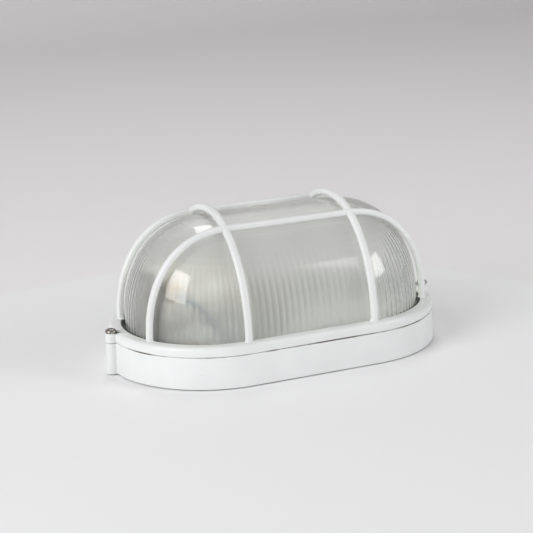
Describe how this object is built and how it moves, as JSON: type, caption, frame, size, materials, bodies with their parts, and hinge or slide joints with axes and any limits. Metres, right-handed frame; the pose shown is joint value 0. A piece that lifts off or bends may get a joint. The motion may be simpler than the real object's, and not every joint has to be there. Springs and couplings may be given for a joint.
{
  "type": "outdoor wall light",
  "caption": "Oval bulkhead wall light with a cast tray, a ribbed glass dome under a barred guard frame, and a screw lampholder with its wiring inside.",
  "frame": {"origin": "middle of the flat back that lies on the wall", "axes": "+Z away from the wall, X along the oval, -Y the side seen in the picture"},
  "size_m": [0.2092, 0.12, 0.091],
  "materials": {
    "white_paint": "satin white enamel on cast aluminium",
    "pressed_glass": "clear pressed glass, ribbed inside, slightly green",
    "black_rubber": "matt black rubber",
    "zinc_plated_steel": "bright zinc plating",
    "brass": "plain pressed and turned brass",
    "porcelain": "white glaze",
    "cream_plastic": "moulded, matt",
    "brown_pvc": "extruded insulation",
    "blue_pvc": "extruded insulation"
  },
  "bodies": {
    "base": {"back_bracket_screw": "zinc_plated_steel", "back_holder_screw": "zinc_plated_steel", "block_fixing_screw": "zinc_plated_steel", "cable_grommet": "black_rubber", "earth_screw": "zinc_plated_steel", "earth_washer": "zinc_plated_steel", "front_bracket_screw": "zinc_plated_steel", "front_holder_screw": "zinc_plated_steel", "housing": "white_paint", "housing_gasket": "black_rubber", "lampholder_body": "porcelain", "lampholder_bracket": "zinc_plated_steel", "lampholder_contact": "brass", "lampholder_shell": "brass", "line_clamp": "brass", "line_lead": "brown_pvc", "line_lead_screw": "brass", "line_supply_screw": "brass", "line_terminal": "brass", "line_terminal_screw": "brass", "neutral_clamp": "brass", "neutral_lead": "blue_pvc", "neutral_lead_screw": "brass", "neutral_supply_screw": "brass", "neutral_terminal": "brass", "neutral_terminal_screw": "brass", "terminal_block": "cream_plastic"},
    "cover": {"guard_frame": "white_paint", "glass_diffuser": "pressed_glass", "diffuser_gasket": "black_rubber"},
    "left_screw": {"left_cover_screw": "zinc_plated_steel", "left_screw_keeper": "black_rubber"},
    "right_screw": {"right_cover_screw": "zinc_plated_steel", "right_screw_keeper": "black_rubber"}
  },
  "joints": [
    {"name": "cover_lift", "type": "slide", "parent": "base", "child": "cover", "axis": [0, 0, 1], "range_m": [0, 0.1]},
    {"name": "left_screw_turn", "type": "hinge", "parent": "cover", "child": "left_screw", "pos_m": [-0.101, 0, 0.0244], "axis": [0, 0, 1], "continuous": true},
    {"name": "right_screw_turn", "type": "hinge", "parent": "cover", "child": "right_screw", "pos_m": [0.101, 0, 0.0244], "axis": [0, 0, 1], "continuous": true}
  ]
}
